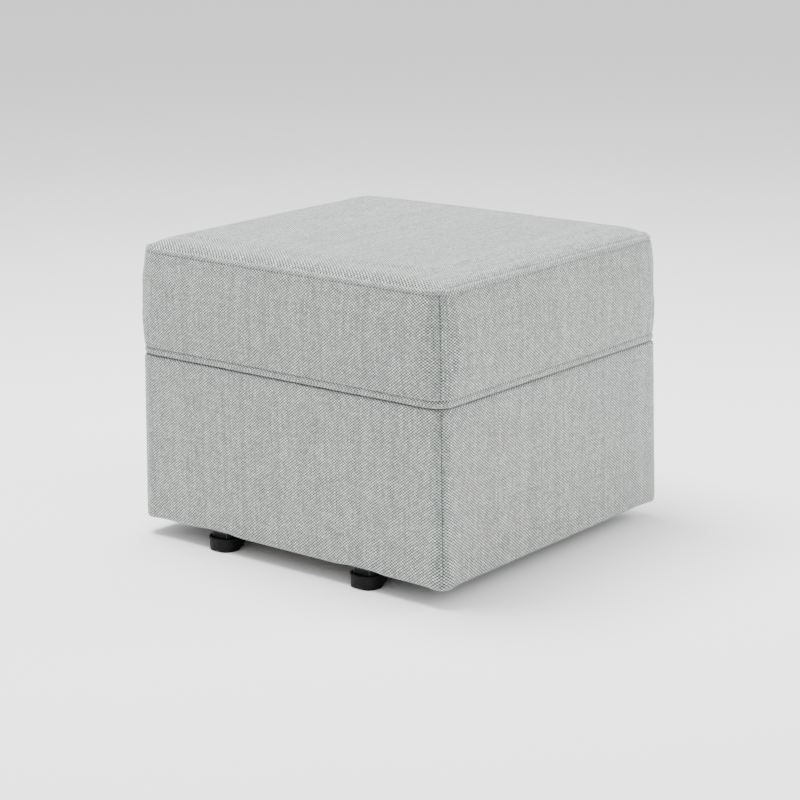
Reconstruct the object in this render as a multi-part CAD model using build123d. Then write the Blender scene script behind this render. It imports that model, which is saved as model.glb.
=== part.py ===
"""Glider ottoman: an upholstered box that hangs on four swing arms over a low steel base.

Millimetres. The origin is on the floor, at the centre of the footprint. +X runs along the wide front,
the front faces -Y and +Z is up. The box glides front to back, along Y, and stays level on its arms.
"""
from build123d import *
from math import cos, radians, sin, tan
import os

os.makedirs("parts", exist_ok=True)

# ---- Outside of the upholstery: insets are measured in from the nominal faces ----
width = 556.0
depth = 513.0
corner_radius = 26.0
corner_facets = 6
cover_bottom = 30.4
waist_seam = 267.6
top_seam = 416.0

fabric = 1.8
padding = 8.2
wrap = 8.0
waist_welt_diameter = 12.4
top_welt_diameter = 8.0
soft_gap = 0.3
seam_gap = 0.4
welt_to_foam = 1.0
cut_over = 1.0

body_inset = 1.0
body_top_rounding = 5.0
cover_return = 25.0
return_radius = 6.0
boxing_bulge = 0.5
waist_draw_in = 1.5
top_draw_in = 5.0

crown_rise = 17.0
crown_span = 120.0
crown_corner_growth = 0.5
crown_steps = 6
bend_facets = 3
bow_facets = 6

# ---- Wooden frame ----
panel_thickness = 15.0
deck_thickness = 12.0
vent_diameter = 24.0
vent_pitch_x = 150.0
vent_pitch_y = 130.0
block_leg = 38.0
carrier_thickness = 22.0
carrier_height = 88.0
nut_pocket_diameter = 22.0
nut_pocket_depth = 10.0
cambric = 0.8
cambric_lap = 9.0

# ---- Glide geometry ----
track = 262.0
pivot_spacing = 180.0
arm_length = 140.0
tower_headroom = 18.0
swing_limit = 20.0

# ---- Steel base ----
rail_width = 28.0
rail_height = 10.5
sheet = 2.0
rail_bend = 2.5
rail_setback = 8.0
cross_width = 32.0
tower_sheet = 3.5
tower_depth = 13.5
tower_foot_width = 44.0
tower_head_width = 32.0
tower_toe = 33.5
tower_to_arm = 4.5

# ---- Plastic feet ----
foot_width = 44.0
foot_deck = 17.0
rim_height = 1.8
rim_wall = 1.6
rim_proud = 0.8
foot_front_rounding = 20.0
foot_rear_rounding = 5.0
sole_length = 26.0
sole_front_radius = 5.0
sole_rear_radius = 9.0
heel_slope = 38.0
foot_proud = 1.5
foot_screw_reach = 18.0
plug_length = 36.0
plug_proud = 1.2
plug_gap = 0.3

# ---- Swing arms and bearings ----
arm_sheet = 5.0
eye_width = 8.0
eye_radius = 15.0
strip_width = 20.0
eye_blend = 24.0
slot_length = 62.0
slot_width = 7.0
bearing_outer = 22.0
bearing_width = 7.0
race_diameter = 12.0
running_gap = 0.05

# ---- Hanger rails and stops ----
hanger_sheet = 3.0
hanger_height = 40.0
hanger_length = 396.0
hanger_gap = 4.0
bumper_diameter = 14.0
bumper_length = 28.0
stop_gap = 0.4

# ---- Fasteners ----
round_facets = 16
pivot_bolt = 8.0
frame_bolt = 6.0
wood_screw = 4.0
hole_gap = 0.05
head_gap = 0.5
bolt_pitch = 15.0
bolt_flats = 10.0
bolt_head = 4.0
nut_height = 5.0
screw_head = 8.6
foot_screw_head = 3.0
screw_recess = 6.0
hanger_screw_head = 2.4
hanger_screw_inner = 42.0
hanger_screw_outer = 186.0
screw_bite = 18.0
bumper_bite = 16.0
bumper_washer = 1.5
pivot_flats = 13.0
pivot_head = 5.3
button_diameter = 15.0
button_head = 2.2
shoulder_diameter = 11.5
shoulder = 1.0
collar = 1.5
locknut = 8.0

# ---- Places worked out from the sizes above ----
half_width = width / 2
half_depth = depth / 2
side = track / 2
half_pivots = pivot_spacing / 2
deck_top = waist_seam + seam_gap
deck_bottom = deck_top - deck_thickness
upper_pivot_height = deck_bottom - tower_headroom - tower_head_width / 2
lower_pivot_height = upper_pivot_height - arm_length
frame_inset = body_inset + fabric + padding
foam_inset = waist_draw_in + waist_welt_diameter + welt_to_foam
return_top = cover_bottom + fabric
rail_top = foot_deck + rail_height
rail_inner = side - rail_width / 2
tower_outer = rail_inner
tower_face = tower_outer - tower_sheet
tower_back = tower_outer - tower_depth
eye_inner = tower_outer + tower_to_arm
eye_middle = eye_inner + eye_width / 2
bearing_inner = eye_middle - bearing_width / 2
bearing_face = eye_middle + bearing_width / 2
hanger_inner = bearing_face + hanger_gap
carrier_inner = hanger_inner + hanger_sheet
travel = arm_length * sin(radians(swing_limit))
lift = arm_length * (1 - cos(radians(swing_limit)))
left_right = (("left", -1), ("right", 1))
front_rear = (("front", -1), ("rear", 1))
corners = [(label, sign, end, y_sign) for label, sign in left_right for end, y_sign in front_rear]
pivots = [(sign, y_sign * half_pivots) for _, sign, _, y_sign in corners]


def save(name, *solids):
    """Write one node: a single solid, or a group of separate solids."""
    shape = solids[0] if len(solids) == 1 else Compound(children=list(solids))
    shape.label = name
    export_step(shape, f"parts/{name}.step")


def outline(along, deep, radius):
    """A rectangle seen from above, each corner rounded in a few flat steps."""
    points = []
    for turn, (x_sign, y_sign) in enumerate(((1, -1), (1, 1), (-1, 1), (-1, -1))):
        for step in range(corner_facets + 1):
            angle = radians(90 * (turn - 1 + step / corner_facets))
            points.append((x_sign * (along / 2 - radius) + radius * cos(angle),
                           y_sign * (deep / 2 - radius) + radius * sin(angle)))
    return Polygon(*points, align=None)


def plan(inset, least_radius=1.0):
    """The box's outline seen from above, drawn in by an inset."""
    radius = max(corner_radius - inset, least_radius)
    return outline(width - 2 * inset, depth - 2 * inset, radius)


def slab(inset, low, high, least_radius=1.0):
    """A solid with that outline between two heights."""
    return Pos(0, 0, low) * extrude(plan(inset, least_radius), high - low)


def stack(levels):
    """A solid through the box's outline at (inset, height) levels, with flat faces between them."""
    rings = [(Pos(0, 0, height) * plan(inset)).face().outer_wire() for inset, height in levels]
    return Solid.make_loft(rings, ruled=True)


def between(outer, inner):
    """What lies between two stacks that share their lowest and highest heights."""
    low, high = inner[0], inner[-1]
    below, above = (low[0], low[1] - cut_over), (high[0], high[1] + cut_over)
    return stack(outer) - stack([below, *inner, above])


def bend(centre_inset, centre_height, radius, start, end):
    """Levels round a bend, from one angle to another; 0 degrees points outward and 90 up."""
    angles = [radians(start + (end - start) * step / bend_facets) for step in range(bend_facets + 1)]
    return [(centre_inset - radius * cos(a), centre_height + radius * sin(a)) for a in angles]


def rounded_box(inset, low, high, low_rounding, high_rounding):
    """The levels of a box whose lower and upper edges are rounded."""
    levels = bend(inset + low_rounding, low + low_rounding, low_rounding, -90, 0)
    return levels + bend(inset + high_rounding, high - high_rounding, high_rounding, 0, 90)


def bow(low, high, foot, middle, top):
    """Levels up a bowed wall that stands in by three insets at its foot, middle and top."""
    levels = []
    for step in range(bow_facets + 1):
        share = step / bow_facets
        inset = (foot * (1 - share) * (1 - 2 * share) + middle * 4 * share * (1 - share)
                 + top * share * (2 * share - 1))
        levels.append((inset, low + (high - low) * share))
    return levels


def crown(inset, base, edge):
    """A solid from a flat base up to a pillow top: steep inside its edge, flat in the middle."""
    edge_radius = corner_radius - inset

    def ring(in_from_edge, height):
        along = width - 2 * (inset + in_from_edge)
        deep = depth - 2 * (inset + in_from_edge)
        radius = edge_radius + crown_corner_growth * in_from_edge
        return (Pos(0, 0, height) * outline(along, deep, radius)).face().outer_wire()

    rings = [ring(0, base), ring(0, edge)]
    for step in range(1, crown_steps + 1):
        share = step / crown_steps
        rings.append(ring(crown_span * share ** 2, edge + crown_rise * (1 - (1 - share) ** 2)))
    return Solid.make_loft(rings, ruled=True)


def crowned_layer(inset, edge, thickness):
    """A layer of one thickness whose upper side is a pillow top."""
    upper = crown(inset, edge - thickness, edge)
    return upper - Pos(0, 0, -thickness) * upper


def rod(radius, length):
    """A round bar along Z, its edges on its circle. Hardware repeats, so it has few faces."""
    return Pos(0, 0, -length / 2) * extrude(RegularPolygon(radius, round_facets), length)


def bore(radius, length):
    """A round hole along Z, its flats on its circle, so that a rod inside it always turns freely."""
    return Pos(0, 0, -length / 2) * extrude(RegularPolygon(radius, round_facets, major_radius=False), length)


def lying(shape, start, end, y, z, sign):
    """A rod or a bore laid along X between two distances from the middle plane, on one side of it."""
    return Pos(sign * (start + end) / 2, y, z) * Rot(0, 90, 0) * shape


def lying_rod(radius, start, end, y, z, sign):
    return lying(rod(radius, end - start), start, end, y, z, sign)


def lying_bore(radius, start, end, y, z, sign):
    return lying(bore(radius, end - start), start, end, y, z, sign)


def lying_ring(outer, inner, start, end, y, z, sign):
    """A ring along X."""
    hole = lying_bore(inner, start - cut_over, end + cut_over, y, z, sign)
    return lying_rod(outer, start, end, y, z, sign) - hole


def lying_hexagon(across_flats, start, end, y, z, sign):
    """A hexagonal bar along X."""
    bar = extrude(RegularPolygon(across_flats / 2, 6, major_radius=False), end - start)
    return lying(Pos(0, 0, -(end - start) / 2) * bar, start, end, y, z, sign)


# ---- Upholstery ----
# The lower cover: a fabric box with no lid, turned under the frame and stapled there.
def lower_cover():
    outer = rounded_box(body_inset, cover_bottom, waist_seam, fabric + padding, body_top_rounding)
    inner = rounded_box(
        body_inset + fabric, return_top, waist_seam - fabric, padding, body_top_rounding - fabric)
    mouth = slab(body_inset + body_top_rounding, waist_seam - 2 * fabric, waist_seam + cut_over)
    opening = slab(cover_return, 0, return_top + cut_over, least_radius=return_radius)
    return stack(outer) - stack(inner) - mouth - opening


# Polyester padding between the frame and the lower cover.
def lower_padding():
    outer = bend(frame_inset, return_top + padding, padding, -90, 0)
    outer.append((body_inset + fabric, waist_seam - body_top_rounding))
    return stack(outer) - slab(frame_inset, 0, waist_seam)


# The boxing band between the two welts, pushed out by the foam and drawn in at both seams.
boxing_low = deck_top + soft_gap + waist_welt_diameter + soft_gap


def boxing():
    outer = bow(boxing_low, top_seam, waist_draw_in, -boxing_bulge, top_draw_in)
    inner = [(inset + fabric, height) for inset, height in outer]
    return between(outer, inner)


# A welt: piping cord wrapped in the same fabric, sewn all round.
def welt(diameter, inset, height):
    radius = diameter / 2
    outer = bend(inset, height, radius, -90, 0) + bend(inset, height, radius, 0, 90)[1:]
    inner = [(2 * inset - place, level) for place, level in outer]
    return between(outer, inner)


waist_welt_inset = waist_draw_in + waist_welt_diameter / 2
top_welt_inset = top_draw_in + top_welt_diameter / 2
waist_welt_height = deck_top + soft_gap + waist_welt_diameter / 2
top_welt_height = top_seam + soft_gap + top_welt_diameter / 2
top_panel_inset = top_welt_inset + top_welt_diameter / 2 + soft_gap
top_panel_edge = top_welt_height + fabric / 2


# The crowned top panel, inside the top welt.
def top_panel():
    return crowned_layer(top_panel_inset, top_panel_edge, fabric)


# Fibre wrap: a soft layer over the foam's sides and top.
wrap_top_edge = top_panel_edge - fabric - soft_gap
foam_top_edge = wrap_top_edge - wrap - soft_gap


def seat_wrap():
    slack = fabric + soft_gap
    wall_top = top_seam - soft_gap
    outer = bow(boxing_low, wall_top, waist_draw_in + slack, slack - boxing_bulge, top_draw_in + slack)
    inner = [(foam_inset - soft_gap, boxing_low), (foam_inset - soft_gap, wall_top)]
    return between(outer, inner) + crowned_layer(top_panel_inset, wrap_top_edge, wrap)


# The foam block, crowned as the cover over it.
def seat_foam():
    return crown(foam_inset, deck_top, foam_top_edge)


save("lower_cover", lower_cover())
save("lower_padding", lower_padding())
save("boxing_band", boxing())
save("waist_welt", welt(waist_welt_diameter, waist_welt_inset, waist_welt_height))
save("top_welt", welt(top_welt_diameter, top_welt_inset, top_welt_height))
save("top_panel", top_panel())
save("seat_wrap", seat_wrap())
save("seat_foam", seat_foam())


# ---- Stops: where the towers' edges are at each end of the glide ----
def tower_half_width(height):
    """Half the tower's width at a height above the floor."""
    share = (height - rail_top) / (upper_pivot_height - rail_top)
    return (tower_foot_width + (tower_head_width - tower_foot_width) * share) / 2


bumper_height = lower_pivot_height
bumper_station = (
    half_pivots + tower_half_width(bumper_height + lift) + travel + bumper_diameter / 2 + stop_gap)
bumper_stations = (-bumper_station, bumper_station)
hanger_screw_stations = (
    -hanger_screw_outer, -hanger_screw_inner, hanger_screw_inner, hanger_screw_outer)


# ---- Wooden frame ----
# Four plywood panels, butted: the front and rear ones run the whole width.
frame_width = width - 2 * frame_inset
frame_depth = depth - 2 * frame_inset
bay_width = frame_width - 2 * panel_thickness
bay_depth = frame_depth - 2 * panel_thickness
panel_height = deck_bottom - return_top
frame_outline = slab(frame_inset, return_top, deck_bottom)


def cross_panel(sign):
    blank = Box(width, panel_thickness, 3 * panel_height)
    return frame_outline & Pos(0, sign * (bay_depth + panel_thickness) / 2, deck_bottom) * blank


def side_panel(sign):
    blank = Box(panel_thickness, bay_depth, 3 * panel_height)
    return frame_outline & Pos(sign * (bay_width + panel_thickness) / 2, 0, deck_bottom) * blank


# Plywood deck under the foam, with vent holes that let it breathe.
def deck_board():
    vents = GridLocations(vent_pitch_x, vent_pitch_y, 3, 3) * bore(vent_diameter / 2, 3 * deck_top)
    return slab(frame_inset, deck_bottom, deck_top) - vents


# Triangular glue blocks in the four inner corners.
def corner_block(x_sign, y_sign):
    corner = (x_sign * bay_width / 2, y_sign * bay_depth / 2)
    triangle = Polygon(
        corner, (corner[0] - x_sign * block_leg, corner[1]), (corner[0], corner[1] - y_sign * block_leg),
        align=None)
    return Pos(0, 0, return_top) * extrude(triangle, panel_height, dir=(0, 0, 1))


# Hardwood boards that carry the mechanism; nuts and screw ends sit in pockets in them.
def carrier_board(sign):
    middle = sign * (carrier_inner + carrier_thickness / 2)
    board = Pos(middle, 0, cover_bottom + carrier_height / 2) * Box(
        carrier_thickness, bay_depth, carrier_height)
    for y in (-half_pivots, half_pivots):
        board -= lying_bore(
            nut_pocket_diameter / 2, carrier_inner - cut_over, carrier_inner + nut_pocket_depth,
            y, lower_pivot_height, sign)
    for y in bumper_stations:
        board -= lying_bore(
            frame_bolt / 2 + hole_gap, carrier_inner - cut_over, carrier_inner + bumper_bite,
            y, bumper_height, sign)
    for y in hanger_screw_stations:
        board -= lying_bore(
            wood_screw / 2 + hole_gap, carrier_inner - cut_over, carrier_inner + screw_bite,
            y, lower_pivot_height, sign)
    return board


# Black cambric stapled over each side bay.
def dust_cover(sign):
    outer = half_width - cover_return + cambric_lap
    inner = carrier_inner + carrier_thickness / 2
    long_side = depth - 2 * cover_return + 2 * cambric_lap
    return Pos(sign * (outer + inner) / 2, 0, cover_bottom - cambric / 2) * Box(
        outer - inner, long_side, cambric)


save("front_panel", cross_panel(-1))
save("rear_panel", cross_panel(1))
for label, sign in left_right:
    save(f"side_panel_{label}", side_panel(sign))
    save(f"carrier_board_{label}", carrier_board(sign))
    save(f"dust_cover_{label}", dust_cover(sign))
save("deck_board", deck_board())
save("corner_blocks", *[corner_block(x, y) for x in (-1, 1) for y in (-1, 1)])


# ---- Base ----
# A rail: an inverted steel channel that stands on a foot at each end.
def channel(long_side, wide, high):
    """An inverted channel along Y, its lower edges at height 0."""
    section = Pos(0, high / 2) * Rectangle(wide, high)
    section = fillet(section.vertices().group_by(Axis.Y)[-1], rail_bend)
    hollow = Pos(0, (high - sheet) / 2) * Rectangle(wide - 2 * sheet, high - sheet)
    along = Plane(origin=(0, long_side / 2, 0), x_dir=(1, 0, 0), z_dir=(0, -1, 0))
    return extrude(along * (section - hollow), long_side)


rail_length = depth - 2 * rail_setback


def base_rail(sign):
    rail = Pos(sign * side, 0, foot_deck) * channel(rail_length, rail_width, rail_height)
    for _, y_sign in front_rear:
        rail -= Pos(sign * side, y_sign * foot_screw_y, rail_top) * bore(
            wood_screw / 2 + hole_gap, 4 * sheet)
    return rail


# A cross channel, welded between the rails; the towers are bolted on it.
def cross_channel(y_sign):
    bar = Rot(0, 0, 90) * channel(2 * rail_inner, cross_width, rail_height)
    bar = Pos(0, y_sign * half_pivots, foot_deck) * bar
    for x in tower_bolt_places:
        for _, sign in left_right:
            bar -= Pos(sign * x, y_sign * half_pivots, rail_top) * bore(
                frame_bolt / 2 + hole_gap, 4 * sheet)
    return bar


# A tower: a pressed-steel upright, tapered, with its edges turned in, standing on a toe.
tower_toe_end = tower_outer - tower_toe
tower_bolt_places = (tower_toe_end + bolt_pitch / 2, tower_toe_end + 3 * bolt_pitch / 2)


def tower_outline(inset):
    foot = tower_foot_width / 2 - inset
    head = tower_head_width / 2 - inset
    low = rail_top + inset
    tip = upper_pivot_height
    outline = Polyline((-head, tip), (-foot, low), (foot, low), (head, tip))
    outline += ThreePointArc((head, tip), (0, tip + head), (-head, tip))
    return make_face(outline)


def tower(sign, y_sign):
    side_view = Plane(origin=(0, y_sign * half_pivots, 0), x_dir=(0, 1, 0), z_dir=(1, 0, 0))
    shell = extrude(side_view * tower_outline(0), tower_depth)
    pocket = extrude(side_view * tower_outline(tower_sheet), tower_depth - tower_sheet)
    if sign > 0:
        upright = Pos(tower_back, 0, 0) * (shell - pocket)
    else:
        upright = Pos(-tower_outer, 0, 0) * (shell - Pos(tower_sheet, 0, 0) * pocket)
    toe = Pos(sign * (tower_toe_end + tower_outer) / 2, y_sign * half_pivots, rail_top + tower_sheet / 2)
    body = upright + toe * Box(tower_toe, cross_width, tower_sheet)
    for x in tower_bolt_places:
        body -= Pos(sign * x, y_sign * half_pivots, rail_top) * bore(
            frame_bolt / 2 + hole_gap, 4 * tower_sheet)
    return body - lying_bore(
        pivot_bolt / 2 + hole_gap, tower_back, tower_outer + cut_over,
        y_sign * half_pivots, upper_pivot_height, sign)


# ---- Feet: moulded boat-shaped glides, round at the toe and sloped at the heel ----
foot_front = half_depth + foot_proud
foot_length = sole_length + foot_deck / tan(radians(heel_slope))
foot_screw_y = foot_front - foot_screw_reach


def foot_plan(grow, high):
    """The foot's outline from above, toe towards -Y, for the front feet."""
    outline = Pos(0, -foot_front + foot_length / 2) * Rectangle(foot_width, foot_length)
    corners = outline.vertices().group_by(Axis.Y)
    outline = fillet(corners[0], foot_front_rounding)
    outline = fillet(outline.vertices().group_by(Axis.Y)[-1], foot_rear_rounding)
    if grow:
        outline = offset(outline, grow)
    return extrude(outline, high)


def foot_profile(top):
    """The foot's side view: upright toe, flat sole, rounded turn and sloping heel."""
    heel = -foot_front + foot_length
    front_edge = -foot_front
    outline = Polygon(
        (front_edge, 0), (front_edge + sole_length, 0), (heel, foot_deck), (heel, top), (front_edge, top),
        align=None)
    low = outline.vertices().group_by(Axis.Y)[0].sort_by(Axis.X)
    outline = fillet(low[0], sole_front_radius)
    heel_turn = outline.vertices().sort_by_distance((front_edge + sole_length, 0))[0]
    return fillet(heel_turn, sole_rear_radius)


def front_foot():
    side_view = Plane(origin=(-foot_width, 0, 0), x_dir=(0, 1, 0), z_dir=(1, 0, 0))
    hull = extrude(side_view * foot_profile(foot_deck + rim_height), 2 * foot_width)
    hull &= foot_plan(0, foot_deck + rim_height)
    rim = Pos(0, 0, foot_deck - rim_height) * foot_plan(rim_proud, 2 * rim_height)
    body = hull + (rim & Pos(0, -foot_front, 0) * Box(4 * foot_width, 2 * sole_length, 4 * foot_deck))
    tray = Pos(0, rim_wall, foot_deck) * foot_plan(-rim_wall, 2 * rim_height)
    body -= tray + Pos(0, foot_length / 2, 0) * tray
    plug_high = rail_height - sheet - plug_gap
    plug_front = half_depth - rail_setback + plug_proud
    plug = Pos(0, -plug_front + plug_length / 2, foot_deck + plug_high / 2) * Box(
        rail_width - 2 * sheet - 2 * plug_gap, plug_length, plug_high)
    body += plug
    shank = Pos(0, -foot_screw_y, 0) * bore(wood_screw / 2 + hole_gap, 4 * foot_deck)
    recess = Pos(0, -foot_screw_y, 0) * bore(screw_head / 2 + head_gap, 2 * screw_recess)
    return body - shank - recess


foot_shape = front_foot()


def foot(sign, y_sign):
    turned = foot_shape if y_sign < 0 else Rot(0, 0, 180) * foot_shape
    return Pos(sign * side, 0, 0) * turned


# A screw up through each foot into the rail.
def foot_screw(sign, y_sign):
    place = Pos(sign * side, y_sign * foot_screw_y, 0)
    shank = Pos(0, 0, (screw_recess + rail_top) / 2) * rod(wood_screw / 2, rail_top - screw_recess)
    head = Pos(0, 0, screw_recess - foot_screw_head / 2) * rod(screw_head / 2, foot_screw_head)
    return place * (shank + head)


# The bolts and nuts that hold a tower's toe to the cross channel.
def tower_bolt(x, y):
    grip_top = rail_top + tower_sheet
    shank_bottom = rail_top - sheet - nut_height
    shank = Pos(x, y, (grip_top + shank_bottom) / 2) * rod(frame_bolt / 2, grip_top - shank_bottom)
    head = Pos(x, y, grip_top) * extrude(RegularPolygon(bolt_flats / 2, 6, major_radius=False), bolt_head)
    return shank + head


def tower_nut(x, y):
    nut = extrude(RegularPolygon(bolt_flats / 2, 6, major_radius=False), nut_height)
    nut -= bore(frame_bolt / 2 + hole_gap, 4 * nut_height)
    return Pos(x, y, rail_top - sheet - nut_height) * nut


bolt_spots = [(sign * x, y_sign * half_pivots) for _, sign, _, y_sign in corners for x in tower_bolt_places]

for label, sign in left_right:
    save(f"base_rail_{label}", base_rail(sign))
for end, y_sign in front_rear:
    save(f"cross_channel_{end}", cross_channel(y_sign))
for label, sign, end, y_sign in corners:
    save(f"tower_{end}_{label}", tower(sign, y_sign))
    save(f"foot_{end}_{label}", foot(sign, y_sign))
save("foot_screws", *[foot_screw(sign, y_sign) for _, sign, _, y_sign in corners])
save("tower_bolts", *[tower_bolt(x, y) for x, y in bolt_spots])
save("tower_nuts", *[tower_nut(x, y) for x, y in bolt_spots])


# ---- Pivots: a bolt carries a spacer and the inner race of a sealed ball bearing ----
def upper_bolt(sign, y):
    z = upper_pivot_height
    end = bearing_face + collar + locknut
    return (lying_hexagon(pivot_flats, tower_face - pivot_head, tower_face, y, z, sign)
            + lying_rod(pivot_bolt / 2, tower_face, end, y, z, sign))


def lower_bolt(sign, y):
    z = lower_pivot_height
    end = carrier_inner + locknut + collar
    start = bearing_inner - shoulder
    return (lying_rod(button_diameter / 2, start - button_head, start, y, z, sign)
            + lying_rod(shoulder_diameter / 2, start, bearing_inner, y, z, sign)
            + lying_rod(pivot_bolt / 2, bearing_inner, end, y, z, sign))


def locknut_on(sign, start, y, z):
    end = start + collar + locknut
    nut = lying_rod(shoulder_diameter / 2, start, start + collar, y, z, sign)
    nut += lying_hexagon(pivot_flats, start + collar, end, y, z, sign)
    return nut - lying_bore(pivot_bolt / 2 + hole_gap, start - cut_over, end + cut_over, y, z, sign)


def spacer(sign, start, end, y, z):
    return lying_ring(race_diameter / 2, pivot_bolt / 2 + hole_gap, start, end, y, z, sign)


low, high = lower_pivot_height, upper_pivot_height
save("upper_pivot_bolts", *[upper_bolt(sign, y) for sign, y in pivots])
save("upper_spacers", *[spacer(sign, tower_outer, bearing_inner, y, high) for sign, y in pivots])
save("upper_inner_races", *[spacer(sign, bearing_inner, bearing_face, y, high) for sign, y in pivots])
save("upper_locknuts", *[locknut_on(sign, bearing_face, y, high) for sign, y in pivots])
save("lower_pivot_bolts", *[lower_bolt(sign, y) for sign, y in pivots])
save("lower_inner_races", *[spacer(sign, bearing_inner, bearing_face, y, low) for sign, y in pivots])
save("lower_spacers", *[spacer(sign, bearing_face, hanger_inner, y, low) for sign, y in pivots])
save("lower_locknuts", *[locknut_on(sign, carrier_inner, y, low) for sign, y in pivots])


# ---- Swing arms: steel strips with an eye at each end, waisted between, with a long slot ----
def arm_outline():
    strip = Pos(0, arm_length / 2) * Rectangle(strip_width, arm_length)
    outline = strip + Circle(eye_radius) + Pos(0, arm_length) * Circle(eye_radius)
    throats = outline.vertices().filter_by(lambda v: 1 < v.Y < arm_length - 1)
    outline = fillet(throats, eye_blend)
    slot = Pos(0, arm_length / 2) * Rot(0, 0, 90) * SlotOverall(slot_length, slot_width)
    return outline - slot


def arm(sign, y):
    side_view = Plane(origin=(0, y, lower_pivot_height), x_dir=(0, 1, 0), z_dir=(1, 0, 0))
    plate = extrude(side_view * arm_outline(), arm_sheet)
    shape = Pos(sign * eye_middle - arm_sheet / 2, 0, 0) * plate
    for z in (lower_pivot_height, upper_pivot_height):
        shape += lying_rod(eye_radius, eye_inner, eye_inner + eye_width, y, z, sign)
    for z in (lower_pivot_height, upper_pivot_height):
        shape -= lying_rod(
            bearing_outer / 2, eye_inner - cut_over, eye_inner + eye_width + cut_over, y, z, sign)
    return shape


# The sealed bearings' outer part, pressed in the eyes; it turns on the inner race.
def bearing(sign, y, z):
    return lying_ring(
        bearing_outer / 2, race_diameter / 2 + running_gap, bearing_inner, bearing_face, y, z, sign)


for label, sign, end, y_sign in corners:
    y = y_sign * half_pivots
    save(f"arm_{end}_{label}", arm(sign, y))
    save(f"arm_bearings_{end}_{label}", bearing(sign, y, low), bearing(sign, y, high))


# ---- Hanger rails: steel strips on the carrier boards, with the stops ----
def hanger_rail(sign):
    side_view = Plane(origin=(0, 0, lower_pivot_height), x_dir=(0, 1, 0), z_dir=(1, 0, 0))
    strip = extrude(side_view * SlotOverall(hanger_length, hanger_height), hanger_sheet)
    start = hanger_inner if sign > 0 else -carrier_inner
    strip = Pos(start, 0, 0) * strip
    holes = [(y, pivot_bolt) for y in (-half_pivots, half_pivots)]
    holes += [(y, frame_bolt) for y in bumper_stations]
    holes += [(y, wood_screw) for y in hanger_screw_stations]
    for y, size in holes:
        strip -= lying_bore(
            size / 2 + hole_gap, hanger_inner - cut_over, carrier_inner + cut_over,
            y, lower_pivot_height, sign)
    return strip


# Rubber stops, each held by a screw through the hanger rail.
def bumper(sign, y):
    start = hanger_inner - bumper_length
    return lying_ring(
        bumper_diameter / 2, frame_bolt / 2 + hole_gap, start, hanger_inner, y, bumper_height, sign)


def bumper_screw(sign, y):
    start = hanger_inner - bumper_length
    shank = lying_rod(frame_bolt / 2, start, carrier_inner + bumper_bite, y, bumper_height, sign)
    return shank + lying_rod(bolt_flats / 2, start - bumper_washer, start, y, bumper_height, sign)


def hanger_screw(sign, y):
    head = lying_rod(
        screw_head / 2, hanger_inner - hanger_screw_head, hanger_inner, y, lower_pivot_height, sign)
    return head + lying_rod(
        wood_screw / 2, hanger_inner, carrier_inner + screw_bite, y, lower_pivot_height, sign)


signs = (-1, 1)
for label, sign in left_right:
    save(f"hanger_rail_{label}", hanger_rail(sign))
save("stop_bumpers", *[bumper(sign, y) for sign in signs for y in bumper_stations])
save("bumper_screws", *[bumper_screw(sign, y) for sign in signs for y in bumper_stations])
save("hanger_screws", *[hanger_screw(sign, y) for sign in signs for y in hanger_screw_stations])
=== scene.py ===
"""A glider ottoman: a light grey woven box on a low black glide base, in a pale studio."""
import math

import bpy
from mathutils import Matrix, Vector, noise


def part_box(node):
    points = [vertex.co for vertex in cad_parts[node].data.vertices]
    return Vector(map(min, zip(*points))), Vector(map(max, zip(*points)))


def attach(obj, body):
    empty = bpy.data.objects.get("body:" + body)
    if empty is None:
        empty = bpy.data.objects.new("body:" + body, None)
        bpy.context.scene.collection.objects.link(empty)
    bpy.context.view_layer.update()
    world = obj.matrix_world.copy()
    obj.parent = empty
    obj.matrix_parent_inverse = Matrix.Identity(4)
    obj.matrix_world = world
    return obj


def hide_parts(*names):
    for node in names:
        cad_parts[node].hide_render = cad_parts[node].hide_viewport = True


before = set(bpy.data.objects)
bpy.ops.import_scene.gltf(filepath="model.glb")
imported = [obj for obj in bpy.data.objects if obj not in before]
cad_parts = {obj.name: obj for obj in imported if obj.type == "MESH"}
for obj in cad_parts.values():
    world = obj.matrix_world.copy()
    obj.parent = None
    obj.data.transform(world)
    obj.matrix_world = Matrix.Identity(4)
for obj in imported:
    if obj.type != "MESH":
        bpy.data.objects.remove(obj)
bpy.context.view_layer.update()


# ---- Studio ----
# A plain white floor, a wide soft light overhead a little to the left and a weaker one on the right.
# The camera stands about a metre up, 3.2 m away, and looks down on the near corner.
def linear(hex_colour):
    """An sRGB hex colour as the linear colour that a shader takes."""
    shares = [int(hex_colour[place:place + 2], 16) / 255 for place in (1, 3, 5)]
    levels = [
        share / 12.92 if share <= 0.04045 else ((share + 0.055) / 1.055) ** 2.4 for share in shares]
    return (*levels, 1.0)


def add(tree, kind, inputs=None, **settings):
    """Add a node with its settings; inputs maps a socket to a value or to another node's output."""
    node = tree.nodes.new(kind)
    for name, value in settings.items():
        setattr(node, name, value)
    for socket, value in (inputs or {}).items():
        if isinstance(value, bpy.types.NodeSocket):
            tree.links.new(value, node.inputs[socket])
        else:
            node.inputs[socket].default_value = value
    return node


def new_material(name, **sockets):
    """A material with one Principled shader, whose constant sockets are given by name."""
    material = bpy.data.materials.new(name)
    material.use_nodes = True
    shader = material.node_tree.nodes["Principled BSDF"]
    for socket, value in sockets.items():
        shader.inputs[socket.replace("_", " ")].default_value = value
    return material, material.node_tree, shader


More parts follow.
